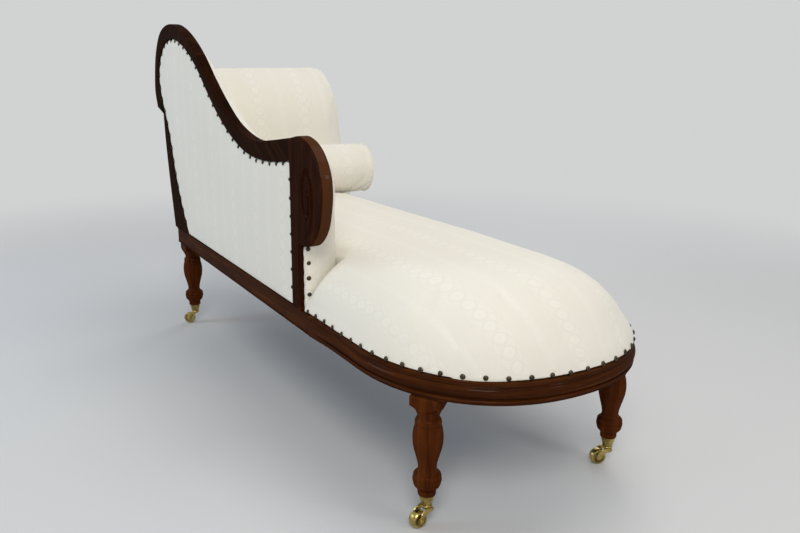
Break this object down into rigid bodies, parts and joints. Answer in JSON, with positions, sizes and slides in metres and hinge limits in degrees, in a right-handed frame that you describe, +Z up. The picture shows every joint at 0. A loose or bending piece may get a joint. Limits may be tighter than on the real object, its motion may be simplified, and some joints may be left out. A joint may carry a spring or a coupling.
{
  "type": "recamier",
  "caption": "One-armed chaise longue with a carved show-wood back along one side, a rolled head, a rounded upholstered foot, a loose round bolster and turned legs on brass castors.",
  "frame": {"origin": "on the floor, under the middle of the object's bounding box", "axes": "+X along the seat from the head to the rounded foot, +Y from the show-wood back to the open side, +Z up"},
  "size_m": [1.848, 0.66, 1.0225],
  "materials": {
    "mahogany": "polished",
    "beech": "raw",
    "ivory_damask": "woven",
    "brass": "polished",
    "spring_steel": "plain",
    "hessian": "woven",
    "bottoming_cloth": "woven"
  },
  "bodies": {
    "frame": {"back_stile": "mahogany", "crest_lobe": "mahogany", "crest_sweep": "mahogany", "scroll_post": "mahogany", "back_side_rail": "mahogany", "foot_moulded_rail": "mahogany", "front_side_rail": "mahogany", "head_rail": "mahogany", "leg_foot_near": "mahogany", "leg_foot_far": "mahogany", "leg_head_near": "mahogany", "leg_head_far": "mahogany", "seat_frame_back": "beech", "seat_frame_front": "beech", "seat_frame_head": "beech", "seat_frame_foot": "beech", "stretcher_1": "beech", "stretcher_2": "beech", "corner_block_back": "beech", "corner_block_front": "beech", "head_upright_back": "beech", "head_upright_front": "beech", "head_top_bar": "beech", "outside_back_panel": "ivory_damask", "outside_head_panel": "ivory_damask", "head_pad": "ivory_damask", "head_end_facing": "ivory_damask", "inside_back_pad": "ivory_damask", "seat_pad": "ivory_damask", "seat_spring_1": "spring_steel", "seat_spring_2": "spring_steel", "seat_spring_3": "spring_steel", "seat_spring_4": "spring_steel", "seat_spring_5": "spring_steel", "seat_spring_6": "spring_steel", "hessian_deck": "hessian", "bottoming_cloth": "bottoming_cloth", "castor_cup_foot_near": "brass", "castor_cup_foot_far": "brass", "castor_cup_head_near": "brass", "castor_cup_head_far": "brass"},
    "castor_fork_foot_near": {"castor_horn_foot_near": "brass", "castor_axle_foot_near": "brass"},
    "castor_roller_foot_near": {"castor_wheel_foot_near": "brass"},
    "castor_fork_foot_far": {"castor_horn_foot_far": "brass", "castor_axle_foot_far": "brass"},
    "castor_roller_foot_far": {"castor_wheel_foot_far": "brass"},
    "castor_fork_head_near": {"castor_horn_head_near": "brass", "castor_axle_head_near": "brass"},
    "castor_roller_head_near": {"castor_wheel_head_near": "brass"},
    "castor_fork_head_far": {"castor_horn_head_far": "brass", "castor_axle_head_far": "brass"},
    "castor_roller_head_far": {"castor_wheel_head_far": "brass"},
    "bolster": {"bolster": "ivory_damask"}
  },
  "joints": [
    {"name": "swivel_foot_near", "type": "hinge", "parent": "frame", "child": "castor_fork_foot_near", "pos_m": [0.757, -0.2574, 0.042], "axis": [0, 0, 1], "continuous": true},
    {"name": "wheel_foot_near", "type": "hinge", "parent": "castor_fork_foot_near", "child": "castor_roller_foot_near", "pos_m": [0.75892, -0.27932, 0.019], "axis": [0.9962, 0.0872, 0], "continuous": true},
    {"name": "swivel_foot_far", "type": "hinge", "parent": "frame", "child": "castor_fork_foot_far", "pos_m": [0.757, 0.2574, 0.042], "axis": [0, 0, 1], "continuous": true},
    {"name": "wheel_foot_far", "type": "hinge", "parent": "castor_fork_foot_far", "child": "castor_roller_foot_far", "pos_m": [0.74667, 0.23797, 0.019], "axis": [0.8829, -0.4695, 0], "continuous": true},
    {"name": "swivel_head_near", "type": "hinge", "parent": "frame", "child": "castor_fork_head_near", "pos_m": [-0.713, -0.294, 0.042], "axis": [0, 0, 1], "continuous": true},
    {"name": "wheel_head_near", "type": "hinge", "parent": "castor_fork_head_near", "child": "castor_roller_head_near", "pos_m": [-0.72684, -0.3111, 0.019], "axis": [0.7771, -0.6293, 0], "continuous": true},
    {"name": "swivel_head_far", "type": "hinge", "parent": "frame", "child": "castor_fork_head_far", "pos_m": [-0.713, 0.294, 0.042], "axis": [0, 0, 1], "continuous": true},
    {"name": "wheel_head_far", "type": "hinge", "parent": "castor_fork_head_far", "child": "castor_roller_head_far", "pos_m": [-0.71606, 0.27221, 0.019], "axis": [0.9903, -0.1392, 0], "continuous": true},
    {"name": "bolster_lift", "type": "slide", "parent": "frame", "child": "bolster", "axis": [0, 0, 1], "range_m": [0, 0.65]}
  ]
}
